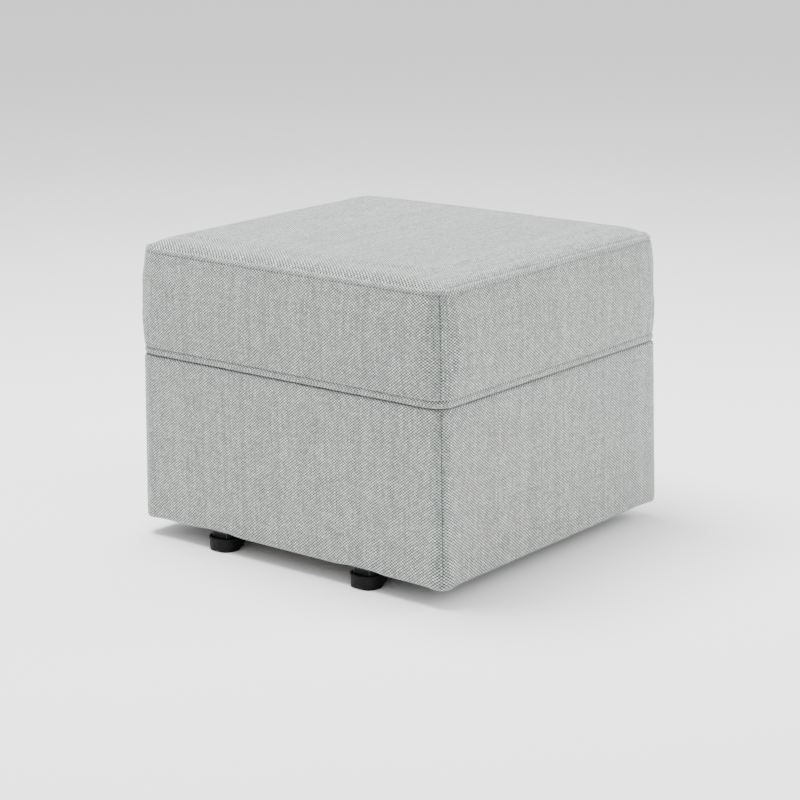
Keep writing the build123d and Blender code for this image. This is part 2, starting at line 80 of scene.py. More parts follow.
def new_piece(name, points, faces, material, smooth=True):
    """A mesh object at the origin, its place in its mesh."""
    mesh = bpy.data.meshes.new(name)
    mesh.from_pydata(points, [], faces)
    mesh.materials.append(material)
    mesh.polygons.foreach_set("use_smooth", [smooth] * len(mesh.polygons))
    mesh.update()
    piece = bpy.data.objects.new(name, mesh)
    bpy.context.scene.collection.objects.link(piece)
    return piece


camera_place = Vector((1.9660, -2.3957, 1.0050))
camera_yaw = math.radians(39.404)
camera_pitch = math.radians(14.778)
camera_roll = math.radians(-0.778)
camera_lens = 100.04

forward = Vector((
    -math.sin(camera_yaw) * math.cos(camera_pitch),
    math.cos(camera_yaw) * math.cos(camera_pitch),
    -math.sin(camera_pitch)))
level_right = Vector((math.cos(camera_yaw), math.sin(camera_yaw), 0))
level_up = level_right.cross(forward)
right = math.cos(camera_roll) * level_right + math.sin(camera_roll) * level_up
up = -math.sin(camera_roll) * level_right + math.cos(camera_roll) * level_up

camera = bpy.data.objects.new("camera", bpy.data.cameras.new("camera"))
camera.data.lens = camera_lens
camera.data.sensor_width = 36.0
camera_axes = Matrix((right, up, -forward)).transposed().to_4x4()
camera.matrix_world = Matrix.Translation(camera_place) @ camera_axes
bpy.context.scene.collection.objects.link(camera)
bpy.context.scene.camera = camera


def soft_light(name, place, target, size, power):
    """A square area light that faces a target."""
    lamp = bpy.data.lights.new(name, "AREA")
    lamp.shape = "SQUARE"
    lamp.size = size
    lamp.energy = power
    light = bpy.data.objects.new(name, lamp)
    light.location = place
    light.rotation_euler = (Vector(target) - Vector(place)).to_track_quat("-Z", "Y").to_euler()
    bpy.context.scene.collection.objects.link(light)


lit_middle = (0, 0, 0.2)
soft_light("light_over_left", (-0.65, -0.25, 3.0), lit_middle, size=1.6, power=212)
soft_light("light_right", (1.9, 1.6, 1.3), lit_middle, size=1.6, power=58)

world = bpy.data.worlds.new("studio_air")
world.use_nodes = True
world.node_tree.nodes["Background"].inputs["Color"].default_value = (1, 1, 1, 1)
world.node_tree.nodes["Background"].inputs["Strength"].default_value = 1.13
bpy.context.scene.world = world

floor_size = 30.0
floor_paint, _, floor_shader = new_material("matt_white_studio_floor", Roughness=0.9)
floor_shader.inputs["Base Color"].default_value = linear("#FFFFFF")
floor = new_piece(
    "floor",
    [(x * floor_size, y * floor_size, 0) for x, y in ((-1, -1), (1, -1), (1, 1), (-1, 1))],
    [(0, 1, 2, 3)], floor_paint, smooth=False)


# ---- Steel of the glide base: rails, cross channels, towers, arms and hanger rails ----
# Pressed mild steel, powder coated. The coat is satin, with the faint orange peel of baked powder,
# and it is a little greyer in patches.
def powder_coat():
    material, tree, shader = new_material("satin_black_powder_coat", Roughness=0.42, Metallic=0.0)
    place = add(tree, "ShaderNodeTexCoord").outputs["Object"]
    peel = add(tree, "ShaderNodeTexNoise", {"Vector": place, "Scale": 900.0, "Detail": 2.0})
    wear = add(tree, "ShaderNodeTexNoise", {"Vector": place, "Scale": 28.0, "Detail": 4.0})
    tone = add(tree, "ShaderNodeMix", {
        "Factor": wear.outputs["Fac"], 6: linear("#151516"), 7: linear("#232325")},
        data_type="RGBA")
    tree.links.new(tone.outputs[2], shader.inputs["Base Color"])
    bump = add(tree, "ShaderNodeBump", {
        "Height": peel.outputs["Fac"], "Strength": 0.25, "Distance": 0.0002})
    tree.links.new(bump.outputs["Normal"], shader.inputs["Normal"])
    return material


def finish_nodes(material, *starts):
    """Give a material to the CAD nodes whose names start so."""
    for name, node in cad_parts.items():
        if name.startswith(starts):
            node.data.materials.clear()
            node.data.materials.append(material)


corner_names = ("front_left", "front_right", "rear_left", "rear_right")
finish_nodes(
    powder_coat(), "base_rail", "cross_channel", "tower_front", "tower_rear", "hanger_rail",
    *[f"arm_{corner}" for corner in corner_names])


# ---- Bearings and their races ----
# Ground bearing steel, bright, with the very fine roughness that grinding leaves.
def ground_steel():
    material, tree, shader = new_material("ground_bearing_steel", Metallic=1.0, Roughness=0.24)
    shader.inputs["Base Color"].default_value = linear("#C4C4C2")
    place = add(tree, "ShaderNodeTexCoord").outputs["Object"]
    grain = add(tree, "ShaderNodeTexNoise", {"Vector": place, "Scale": 1400.0, "Detail": 1.0})
    bump = add(tree, "ShaderNodeBump", {
        "Height": grain.outputs["Fac"], "Strength": 0.15, "Distance": 0.0001})
    tree.links.new(bump.outputs["Normal"], shader.inputs["Normal"])
    return material


finish_nodes(ground_steel(), "arm_bearings", "upper_inner_races", "lower_inner_races")


# ---- Bolts, nuts, spacers and screws ----
# Cold-headed steel, bright zinc plated: a cool grey, faintly blotched.
def zinc_plate():
    material, tree, shader = new_material("bright_zinc_plate", Metallic=1.0)
    place = add(tree, "ShaderNodeTexCoord").outputs["Object"]
    blotch = add(tree, "ShaderNodeTexNoise", {"Vector": place, "Scale": 160.0, "Detail": 3.0})
    tone = add(tree, "ShaderNodeMix", {
        "Factor": blotch.outputs["Fac"], 6: linear("#A9ABAC"), 7: linear("#CBCCCB")},
        data_type="RGBA")
    rough = add(tree, "ShaderNodeMapRange", {
        "Value": blotch.outputs["Fac"], "To Min": 0.26, "To Max": 0.42})
    tree.links.new(tone.outputs[2], shader.inputs["Base Color"])
    tree.links.new(rough.outputs["Result"], shader.inputs["Roughness"])
    return material


finish_nodes(
    zinc_plate(), "tower_bolts", "tower_nuts", "upper_pivot_bolts", "lower_pivot_bolts",
    "upper_spacers", "lower_spacers", "upper_locknuts", "lower_locknuts",
    "bumper_screws", "hanger_screws", "foot_screws")


# ---- Feet ----
# Injection-moulded black nylon glides: a fine sparked texture with a weak, soft highlight.
def moulded_nylon():
    material, tree, shader = new_material(
        "moulded_black_nylon", Roughness=0.55, IOR=1.53, Specular_IOR_Level=0.12)
    place = add(tree, "ShaderNodeTexCoord").outputs["Object"]
    spark = add(tree, "ShaderNodeTexNoise", {"Vector": place, "Scale": 1100.0, "Detail": 3.0})
    scuff = add(tree, "ShaderNodeTexNoise", {"Vector": place, "Scale": 70.0, "Detail": 5.0})
    tone = add(tree, "ShaderNodeMix", {
        "Factor": scuff.outputs["Fac"], 6: linear("#070708"), 7: linear("#100F11")},
        data_type="RGBA")
    bump = add(tree, "ShaderNodeBump", {
        "Height": spark.outputs["Fac"], "Strength": 0.35, "Distance": 0.0002})
    tree.links.new(tone.outputs[2], shader.inputs["Base Color"])
    tree.links.new(bump.outputs["Normal"], shader.inputs["Normal"])
    return material


finish_nodes(moulded_nylon(), "foot_front", "foot_rear")


# ---- Stops ----
# Moulded black rubber, matt and a little dusty.
def moulded_rubber():
    material, tree, shader = new_material("moulded_black_rubber", Roughness=0.82)
    place = add(tree, "ShaderNodeTexCoord").outputs["Object"]
    dust = add(tree, "ShaderNodeTexNoise", {"Vector": place, "Scale": 220.0, "Detail": 5.0})
    tone = add(tree, "ShaderNodeMix", {
        "Factor": dust.outputs["Fac"], 6: linear("#141414"), 7: linear("#2B2A29")},
        data_type="RGBA")
    tree.links.new(tone.outputs[2], shader.inputs["Base Color"])
    return material


finish_nodes(moulded_rubber(), "stop_bumpers")


# ---- Wooden frame: panels and deck ----
# Birch plywood as it comes from the saw, with long grain on its faces. The grain runs across the
# front and back panels, and front to back on the side panels and the deck.
millimetre = 0.001
plywood_grain = 12 * millimetre
grain_stretch = 12


def raw_wood(name, dark, light, grain_width, along):
    """Unfinished wood whose grain is drawn out along one axis: 0 for x, 1 for y, 2 for z."""
    material, tree, shader = new_material(name, Roughness=0.68)
    stretch = [1.0, 1.0, 1.0]
    stretch[along] = 1 / grain_stretch
    place = add(tree, "ShaderNodeTexCoord").outputs["Object"]
    turned = add(tree, "ShaderNodeMapping", {"Vector": place, "Scale": stretch})
    figure = add(tree, "ShaderNodeTexNoise", {
        "Vector": turned.outputs["Vector"], "Scale": 1 / grain_width,
        "Detail": 6.0, "Distortion": 0.6})
    pores = add(tree, "ShaderNodeTexNoise", {
        "Vector": turned.outputs["Vector"], "Scale": 8 / grain_width, "Detail": 2.0})
    mixed = add(tree, "ShaderNodeMath", {
        0: figure.outputs["Fac"], 1: pores.outputs["Fac"]}, operation="MULTIPLY")
    share = add(tree, "ShaderNodeMapRange", {
        "Value": mixed.outputs["Value"], "From Min": 0.12, "From Max": 0.4})
    tone = add(tree, "ShaderNodeMix", {
        "Factor": share.outputs["Result"], 6: linear(dark), 7: linear(light)}, data_type="RGBA")
    bump = add(tree, "ShaderNodeBump", {
        "Height": pores.outputs["Fac"], "Strength": 0.3, "Distance": 0.0003})
    tree.links.new(tone.outputs[2], shader.inputs["Base Color"])
    tree.links.new(bump.outputs["Normal"], shader.inputs["Normal"])
    return material


for name, along, nodes in (
        ("birch_plywood", 0, ("front_panel", "rear_panel")),
        ("birch_plywood_crosswise", 1, ("side_panel", "deck_board"))):
    finish_nodes(raw_wood(name, "#B89468", "#E0C79C", plywood_grain, along), *nodes)


# ---- Glue blocks and carrier boards ----
# Planed beech, closer in grain and redder than the plywood. The boards lie front to back and the
# blocks stand on end.
beech_grain = 6 * millimetre

for name, along, node in (
        ("planed_beech", 1, "carrier_board"), ("planed_beech_upright", 2, "corner_blocks")):
    finish_nodes(raw_wood(name, "#A87B50", "#CFA678", beech_grain, along), node)


# ---- The box's outline, which every soft piece follows ----
# The plan is a rectangle with rounded corners. A station is a place on it, and a reach of zero is
# the nominal face. The fabric is cut in four sides that meet at the corners, each from its own
# place on the roll.
half_width = 278 * millimetre
half_depth = 256.5 * millimetre
corner_radius = 26 * millimetre
inner_width = half_width - corner_radius
inner_depth = half_depth - corner_radius
corner_arc = corner_radius * math.pi / 2
perimeter = 4 * (inner_width + inner_depth + corner_arc)
side_step = 6.5 * millimetre
corner_steps = 24
crowding = 1.8
roll_shift = 0.713


def stations():
    """(centre of curvature, outward normal, distance round) from the front's middle.

    The steps round a corner crowd towards its middle, where the seam's groove is.
    """
    corners = ((inner_width, -inner_depth), (inner_width, inner_depth),
               (-inner_width, inner_depth), (-inner_width, -inner_depth))
    found = []
    distance = inner_width
    for turn, (x, y) in enumerate(corners):
        for step in range(corner_steps + 1):
            off_middle = 2 * step / corner_steps - 1
            share = 0.5 + 0.5 * math.copysign(abs(off_middle) ** crowding, off_middle)
            angle = math.pi / 2 * (turn - 1 + share)
            found.append((Vector((x, y)), Vector((math.cos(angle), math.sin(angle))),
                          distance + corner_arc * share))
        distance += corner_arc
        following = Vector(corners[(turn + 1) % 4])
        run = following - Vector((x, y))
        steps = round(run.length / side_step)
        normal = found[-1][1]
        for step in range(1, steps):
            place = Vector((x, y)) + run * step / steps
            found.append((place, normal, distance + run.length * step / steps))
        distance += run.length
    return found


around = stations()
first_seam = inner_width + corner_arc / 2
to_second_seam = 2 * inner_depth + corner_arc
seam_distances = [first_seam, first_seam + to_second_seam]
seam_distances += [seam + perimeter / 2 for seam in seam_distances]


def from_seam(distance):
    """The signed distance to the nearest corner seam."""
    half = perimeter / 2
    gaps = [(distance - seam + half) % perimeter - half for seam in seam_distances]
    return min(gaps, key=abs)


def side_of(distance):
    """The number of the cut side that a place belongs to, and how far it is from its middle."""
    for number, seam in enumerate(seam_distances):
        following = seam_distances[(number + 1) % 4] + (perimeter if number == 3 else 0)
        place = distance if distance >= seam_distances[0] else distance + perimeter
        if seam <= place < following:
            return number, place - (seam + following) / 2
    raise ValueError(distance)


def cut_span(column, shift, start=0.0):
    """Where the strip from one station to the next lies along the roll: its two ends."""
    after = (column + 1) % len(around)
    here = around[column][2]
    following = around[after][2] if after else around[0][2] + perimeter
    number, middle = side_of((here + following) / 2 % perimeter)
    half = (following - here) / 2
    return number * shift + start + middle - half, number * shift + start + middle + half


def map_cloth(piece, uvs):
    """Give a piece its cloth's UV map, in metres."""
    layer = piece.data.uv_layers.new(name="cloth")
    layer.data.foreach_set("uv", [value for pair in uvs for value in pair])


def swept(name, section, material, relief=None, fall=None):
    """A closed loop of (reach, height) carried round the outline."""
    count = len(section)
    points = []
    for centre, normal, distance in around:
        for reach, height in section:
            out = reach + (relief(distance, reach, height) if relief else 0.0)
            place = centre + normal * (corner_radius + out)
            drop = fall(place.x, place.y, reach, height) if fall else 0.0
            points.append((place.x, place.y, height - drop))
    faces = []
    uvs = []
    along = [0.0]
    for first, second in zip(section, section[1:] + section[:1]):
        along.append(along[-1] + math.dist(first, second))
    for column in range(len(around)):
        after = (column + 1) % len(around)
        left, beyond = cut_span(column, roll_shift)
        for row in range(count):
            beside = (row + 1) % count
            faces.append((column * count + row, after * count + row,
                          after * count + beside, column * count + beside))
            low, high = along[row], along[row + 1]
            uvs += [(left, low), (beyond, low), (beyond, high), (left, high)]
    piece = new_piece(name, points, faces, material)
    map_cloth(piece, uvs)
    return piece


# ---- Upholstery fabric ----
# A plain weave of thick yarns: light warp over a darker grey-green weft, with slubs and flecks, and
# painted shade in the hollows between the yarns. The warp lies 2.7 mm apart and the weft 2.0 mm, so
# its checks are as coarse as the real cloth's.
warp_pitch = 2.7 * millimetre
weft_pitch = 2.0 * millimetre
yarn_relief = 0.8 * millimetre
yarn_wander = 1.1 * millimetre
wanders_per_metre = 90.0
slubs_per_metre = 300.0
slub_squeeze = 0.09
flecks_per_metre = 620.0
fleck_squeeze = 0.35
weft_tone_seed = 517.0


def woven_fabric():
    material, tree, shader = new_material("grey_plain_weave_tweed", Roughness=0.9)
    shader.inputs["Sheen Weight"].default_value = 0.25
    shader.inputs["Sheen Roughness"].default_value = 0.5
    cloth = add(tree, "ShaderNodeUVMap", uv_map="cloth").outputs["UV"]

    def math_node(operation, *values):
        node = add(tree, "ShaderNodeMath", dict(enumerate(values)), operation=operation)
        return node.outputs["Value"]

    wander = add(tree, "ShaderNodeTexNoise", {
        "Vector": cloth, "Scale": wanders_per_metre, "Detail": 2.0})
    lean = add(tree, "ShaderNodeVectorMath", {
        0: wander.outputs["Color"], 1: (-0.5, -0.5, -0.5)}, operation="ADD")
    shift = add(tree, "ShaderNodeVectorMath", {
        0: lean.outputs["Vector"], "Scale": yarn_wander}, operation="SCALE")
    bent = add(tree, "ShaderNodeVectorMath", {
        0: cloth, 1: shift.outputs["Vector"]}, operation="ADD")
    split = add(tree, "ShaderNodeSeparateXYZ", {"Vector": bent.outputs["Vector"]})
    across = math_node("DIVIDE", split.outputs["X"], warp_pitch)
    along = math_node("DIVIDE", split.outputs["Y"], weft_pitch)
    warp_number = math_node("FLOOR", across)
    weft_number = math_node("FLOOR", along)
    warp_share = math_node("FRACT", across)
    weft_share = math_node("FRACT", along)
    parity = math_node("FLOORED_MODULO", math_node("ADD", warp_number, weft_number), 2.0)

    warp_round = math_node("SINE", math_node("MULTIPLY", warp_share, math.pi))
    weft_round = math_node("SINE", math_node("MULTIPLY", weft_share, math.pi))
    over = math_node("MULTIPLY", warp_round, math_node("POWER", weft_round, 0.5))
    under = math_node("MULTIPLY", weft_round, math_node("POWER", warp_round, 0.5))
    height = add(tree, "ShaderNodeMix", {"Factor": parity, 2: under, 3: over}).outputs[0]

    warp_tone = add(tree, "ShaderNodeTexWhiteNoise", {"W": warp_number}, noise_dimensions="1D")
    weft_tone = add(tree, "ShaderNodeTexWhiteNoise", {
        "W": math_node("ADD", weft_number, weft_tone_seed)}, noise_dimensions="1D")
    slub_space = add(tree, "ShaderNodeMapping", {
        "Vector": cloth, "Scale": (1.0, slub_squeeze, 1.0)})
    slubs = add(tree, "ShaderNodeTexNoise", {
        "Vector": slub_space.outputs["Vector"], "Scale": slubs_per_metre, "Detail": 3.0})
    fleck_space = add(tree, "ShaderNodeMapping", {
        "Vector": cloth, "Scale": (1.0, fleck_squeeze, 1.0)})
    flecks = add(tree, "ShaderNodeTexNoise", {
        "Vector": fleck_space.outputs["Vector"], "Scale": flecks_per_metre, "Detail": 2.0})

    warp_colour = add(tree, "ShaderNodeMix", {
        "Factor": warp_tone.outputs["Value"], 6: linear("#C7CECA"), 7: linear("#E3EAE5")},
        data_type="RGBA").outputs[2]
    weft_colour = add(tree, "ShaderNodeMix", {
        "Factor": weft_tone.outputs["Value"], 6: linear("#2A3430"), 7: linear("#48534E")},
        data_type="RGBA").outputs[2]
    yarns = add(tree, "ShaderNodeMix", {
        "Factor": parity, 6: weft_colour, 7: warp_colour}, data_type="RGBA").outputs[2]
    slub_gain = add(tree, "ShaderNodeMapRange", {
        "Value": slubs.outputs["Fac"],
        "From Min": 0.3, "From Max": 0.7, "To Min": 0.79, "To Max": 1.15})
    fleck_gain = add(tree, "ShaderNodeMapRange", {
        "Value": flecks.outputs["Fac"],
        "From Min": 0.3, "From Max": 0.7, "To Min": 0.8, "To Max": 1.14})
    crossing = add(tree, "ShaderNodeCombineXYZ", {"X": warp_number, "Y": weft_number})
    crossing_tone = add(tree, "ShaderNodeTexWhiteNoise", {"Vector": crossing.outputs["Vector"]})
    crossing_gain = add(tree, "ShaderNodeMapRange", {
        "Value": crossing_tone.outputs["Value"], "To Min": 0.7, "To Max": 1.28})
    shade = math_node("MULTIPLY", slub_gain.outputs["Result"], fleck_gain.outputs["Result"])
    shade = math_node("MULTIPLY", shade, crossing_gain.outputs["Result"])
    # Painted shade: the colour is darkened where the yarns dip, down to half at the lowest, as if the
    # hollows were shaded.
    painted_crevice_shade = add(tree, "ShaderNodeMapRange", {
        "Value": height, "From Min": 0.0, "From Max": 0.75, "To Min": 0.5, "To Max": 1.0})
    gain = math_node("MULTIPLY", shade, painted_crevice_shade.outputs["Result"])
    coloured = add(tree, "ShaderNodeVectorMath", {0: yarns, "Scale": gain}, operation="SCALE")
    tree.links.new(coloured.outputs["Vector"], shader.inputs["Base Color"])
    bump = add(tree, "ShaderNodeBump", {
        "Height": height, "Strength": 0.8, "Distance": yarn_relief})
    tree.links.new(bump.outputs["Normal"], shader.inputs["Normal"])
    return material


tweed = woven_fabric()

fabric = 1.8 * millimetre
seam_depth = 3.0 * millimetre
seam_width = 1.1 * millimetre
cover_bottom = 30.4 * millimetre
top_seam = 416 * millimetre
corner_pull_at_top = 5.5 * millimetre
corner_pull_at_foot = -4 * millimetre
corner_pull_width = 18 * millimetre
hand_slack = 0.7 * millimetre
gather_depth = 0.6 * millimetre
gather_reach = 9 * millimetre
gathers_per_metre = 44.0


def seam_relief(distance):
    """A corner seam: a narrow groove where two cut sides are sewn together."""
    return -seam_depth * math.exp(-(from_seam(distance) / seam_width) ** 2)


def corner_pull(distance, height):
    """The corners are drawn in at the top seam, and stand fuller than the faces at the foot."""
    share = (height - cover_bottom) / (top_seam - cover_bottom)
    pull = corner_pull_at_foot + (corner_pull_at_top - corner_pull_at_foot) * share
    return -pull * math.exp(-(from_seam(distance) / corner_pull_width) ** 2)


def hand_relief(distance, height, seed, depth):
    """The slow unevenness that hand-pulled cloth keeps over soft padding."""
    angle = 2 * math.pi * distance / perimeter
    level = 0.0
    for girth, climb, strength in ((2.6, 7.0, 1.0), (9.0, 20.0, 0.4)):
        place = Vector((girth * math.cos(angle), girth * math.sin(angle), climb * height + seed))
        level += strength * noise.noise(place)
    return depth * level


def puckers(distance, gap, seed, depth):
    """Small gathers beside a sewn edge, which die out away from it."""
    place = Vector((distance * gathers_per_metre, seed, 0.0))
    return depth * noise.noise(place) * math.exp(-abs(gap) / gather_reach)


# ---- Lower cover ----
# A fabric box with no lid, sewn at its four corners, pulled down over the padded frame, turned
# under and stapled there. At the waist it is tucked in below the welt.
waist_seam = 267.6 * millimetre
body_inset = 1.0 * millimetre
cover_return = 25 * millimetre
waist_tuck = 11.5 * millimetre
shoulder = 5 * millimetre
shoulder_steps = 6
bottom_radius = 7 * millimetre
bottom_steps = 8
cover_rows = 44
relief_fade = 20 * millimetre
hem_drop = 4.5 * millimetre
hem_corner_drop = 2.6 * millimetre
hem_corner_width = 22 * millimetre
hem_lift_over_rails = 2.4 * millimetre
hem_lift_width = 34 * millimetre
hem_fade = 90 * millimetre
rail_track = 131 * millimetre
staple_reach = 19 * millimetre
staple_fade = 6 * millimetre


def arc(centre, radius, start, end, steps):
    """Points on an arc, its angles in degrees from the outward direction."""
    angles = [math.radians(start + (end - start) * step / steps) for step in range(steps + 1)]
    return [(centre[0] + radius * math.cos(angle), centre[1] + radius * math.sin(angle))
            for angle in angles]


def cover_section():
    """The lower cover's loop: up its outer side, over the tuck and down its inner side."""
    low = cover_bottom + bottom_radius
    top = waist_seam - shoulder
    low_turn = (-body_inset - bottom_radius, low)
    top_turn = (-body_inset - shoulder, top)
    levels = [low + (top - low) * row / cover_rows for row in range(1, cover_rows)]
    outer = [(-cover_return, cover_bottom)]
    outer += arc(low_turn, bottom_radius, -90, 0, bottom_steps)
    outer += [(-body_inset, level) for level in levels]
    outer += arc(top_turn, shoulder, 0, 90, shoulder_steps)
    outer += [(-waist_tuck, waist_seam)]
    inner = [(-waist_tuck, waist_seam - fabric)]
    inner += arc(top_turn, shoulder - fabric, 90, 0, shoulder_steps)
    inner += [(-body_inset - fabric, level) for level in reversed(levels)]
    inner += arc(low_turn, bottom_radius - fabric, 0, -90, bottom_steps)
    inner += [(-cover_return, cover_bottom + fabric)]
    return outer + inner


def cover_relief(distance, reach, height):
    """What the hand, the seams and the gathers do to the faces; what is turned under stays flat."""
    if reach < -bottom_radius - body_inset:
        return 0.0
    fade = min(1.0, (height - cover_bottom) / relief_fade)
    relief = hand_relief(distance, height, seed=3.0, depth=hand_slack) * fade
    relief += puckers(distance, waist_seam - height, seed=11.0, depth=gather_depth)
    return relief + seam_relief(distance) * fade + corner_pull(distance, height)


def hem_fall(x, y, reach, height):
    """The hem hangs a little below the staples, and is pulled up where a rail passes under it."""
    from_corner = math.hypot(half_width - abs(x), half_depth - abs(y))
    drop = hem_drop + hem_corner_drop * math.exp(-(from_corner / hem_corner_width) ** 2)
    if abs(y) > half_depth - cover_return:
        drop -= hem_lift_over_rails * math.exp(-((abs(x) - rail_track) / hem_lift_width) ** 4)
    low_share = max(0.0, 1 - (height - cover_bottom) / hem_fade)
    outer_share = min(1.0, max(0.0, (reach + staple_reach) / staple_fade))
    return drop * low_share ** 2 * outer_share


lower_cover = swept("lower_cover_cloth", cover_section(), tweed, cover_relief, hem_fall)
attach(lower_cover, "ottoman")
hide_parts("lower_cover")


# ---- Padding under the lower cover ----
# A bonded polyester sheet, white and springy, wrapped round the plywood box.
def polyester():
    material, tree, shader = new_material("bonded_polyester_fibre", Roughness=1.0)
    place = add(tree, "ShaderNodeTexCoord").outputs["Object"]
    hairs = add(tree, "ShaderNodeTexNoise", {"Vector": place, "Scale": 420.0, "Detail": 8.0})
    tone = add(tree, "ShaderNodeMix", {
        "Factor": hairs.outputs["Fac"], 6: linear("#D9D9D4"), 7: linear("#F6F6F2")},
        data_type="RGBA")
    bump = add(tree, "ShaderNodeBump", {
        "Height": hairs.outputs["Fac"], "Strength": 0.8, "Distance": 0.001})
    tree.links.new(tone.outputs[2], shader.inputs["Base Color"])
    tree.links.new(bump.outputs["Normal"], shader.inputs["Normal"])
    return material


fibre = polyester()
padding = 8.2 * millimetre
padding_slack = 1.2 * millimetre
padding_stop = 8 * millimetre
padding_rows = 12


def padding_section():
    """The padding's loop, which ends a little below the waist seam."""
    face = -body_inset - fabric - padding_slack
    back = -body_inset - fabric - padding
    low = cover_bottom + fabric + padding_slack
    high = waist_seam - padding_stop
    middle = (face + back) / 2
    up_face = [(face, low + (high - low) * (row + 0.5) / padding_rows) for row in range(padding_rows)]
    return [(back, low), (middle, low)] + up_face + [(middle, high), (back, high)]


lower_padding = swept("lower_padding_fibre", padding_section(), fibre, cover_relief)
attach(lower_padding, "ottoman")
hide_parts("lower_padding")


# ---- Seat cushion ----
# Foam and fibre in a boxed cover, as one closed form: a band round the sides, drawn in at both seams
# and pushed out between them, and a crowned panel on top. The filling then swells it a little.
boxing_low = 281.0 * millimetre
waist_draw_in = 1.5 * millimetre
top_draw_in = 5 * millimetre
boxing_bulge = 0.5 * millimetre
bow_flatness = 2.6
panel_inset = 13.3 * millimetre
panel_edge = 419 * millimetre
crown_rise = 16.2 * millimetre
crown_reach = 10.5 * millimetre
panel_half_size = 0.27
panel_relief_ramp = 6
deck_top = 268.3 * millimetre
tuck_inset = 14.5 * millimetre
seam_roll = 1.6 * millimetre
seam_roll_share = 0.012
band_shift = 0.571
band_start = 0.2
cover_slack = 0.003
filling_pressure = 3.0
cloth_frames = 20
swell_cap = 1.8 * millimetre
seam_hold = 45 * millimetre
held_lip_rings = 4
held_top_rings = 3
boxing_rows = 26
panel_rings = 44
panel_crowding = 1.7


def band_reach(share):
    """How far the band stands out of the nominal face, from the waist seam up to the top seam."""
    straight = -waist_draw_in + (waist_draw_in - top_draw_in) * share
    bow = boxing_bulge + (waist_draw_in + top_draw_in) / 2
    roll = seam_roll * math.exp(-(1 - share) / seam_roll_share)
    return straight + bow * (1 - abs(2 * share - 1) ** bow_flatness) - roll


underside_shares = (0.25, 0.6, 1.0)
band_shares = [0.022] + [row / boxing_rows for row in range(1, boxing_rows)] + [0.985, 1.0]
band_lip = [
    (-tuck_inset, boxing_low - 1.5 * millimetre),
    (-tuck_inset + 3 * millimetre, boxing_low),
    (-5.5 * millimetre, boxing_low - 0.1 * millimetre),
    (-3.1 * millimetre, boxing_low - 1.3 * millimetre),
    (-2.1 * millimetre, boxing_low - 0.4 * millimetre),
    (-1.6 * millimetre, boxing_low + 1.0 * millimetre)]
band_profile = band_lip + [
    (band_reach(share), boxing_low + (top_seam - boxing_low) * share) for share in band_shares]
band_profile += [
    (-9 * millimetre, top_seam - 0.3 * millimetre),
    (-panel_inset - 0.3 * millimetre, top_seam)]
first_band_ring = len(underside_shares)
first_panel_ring = first_band_ring + len(band_profile)
ring_count = first_panel_ring + panel_rings


def crown_height(x, y):
    """The panel's height: it climbs steeply inside its edge and is almost flat in the middle."""
    gain = 1.0
    for half, place in ((half_width, x), (half_depth, y)):
        inside = max(half - panel_inset - abs(place), 0.0)
        gain *= 1 - math.exp(-inside / crown_reach)
    return panel_edge + crown_rise * gain


def panel_share(step):
    """How far in a ring of the panel lies, from 0 at its edge; the rings crowd towards the edge."""
    return (step / panel_rings) ** panel_crowding


def panel_relief(x, y):
    """The slow unevenness of the filling under the panel."""
    level = 0.0
    for waves_per_metre, seed, strength in ((11, 31.0, 1.0), (30, 4.0, 0.5)):
        level += strength * noise.noise(Vector((x * waves_per_metre, y * waves_per_metre, seed)))
    return level


def cushion_rings(worked):
    """Rings from the middle of the underside, out round the band and in over the crown.

    Only the worked form has the seams, gathers and hand marks. The plain one is what is inflated.
    """
    slack = hand_slack if worked else 0.0
    tucked = corner_radius - tuck_inset
    rings = []
    for share in underside_shares:
        rings.append([
            ((centre.x + normal.x * tucked) * share, (centre.y + normal.y * tucked) * share, deck_top)
            for centre, normal, _ in around])
    for reach, height in band_profile:
        ring = []
        low_gap, high_gap = height - boxing_low, top_seam - height
        for centre, normal, distance in around:
            out = reach + corner_pull(distance, height)
            if reach > -tuck_inset / 2 and high_gap >= 0:
                out += hand_relief(distance, height, seed=19.0, depth=slack)
                out += puckers(distance, low_gap, seed=5.0, depth=slack)
                out += puckers(distance, high_gap, seed=8.0, depth=slack)
                out += seam_relief(distance) if worked else 0.0
            place = centre + normal * (corner_radius + out)
            ring.append((place.x, place.y, height))
        rings.append(ring)
    for step in range(panel_rings):
        share = panel_share(step)
        ring = []
        for centre, normal, distance in around:
            edge = centre + normal * (corner_radius - panel_inset + corner_pull(distance, top_seam))
            x, y = edge.x * (1 - share), edge.y * (1 - share)
            ramp = min(1.0, panel_relief_ramp * share)
            height = crown_height(x, y) + slack * panel_relief(x, y) * ramp
            gathers = puckers(distance, share * panel_half_size, seed=14.0, depth=slack)
            ring.append((x, y, height + gathers))
        rings.append(ring)
    return rings


def cushion_index(ring, column):
    """Where a point stands in the cushion's list, which begins with the underside's middle."""
    return 1 + ring * len(around) + column


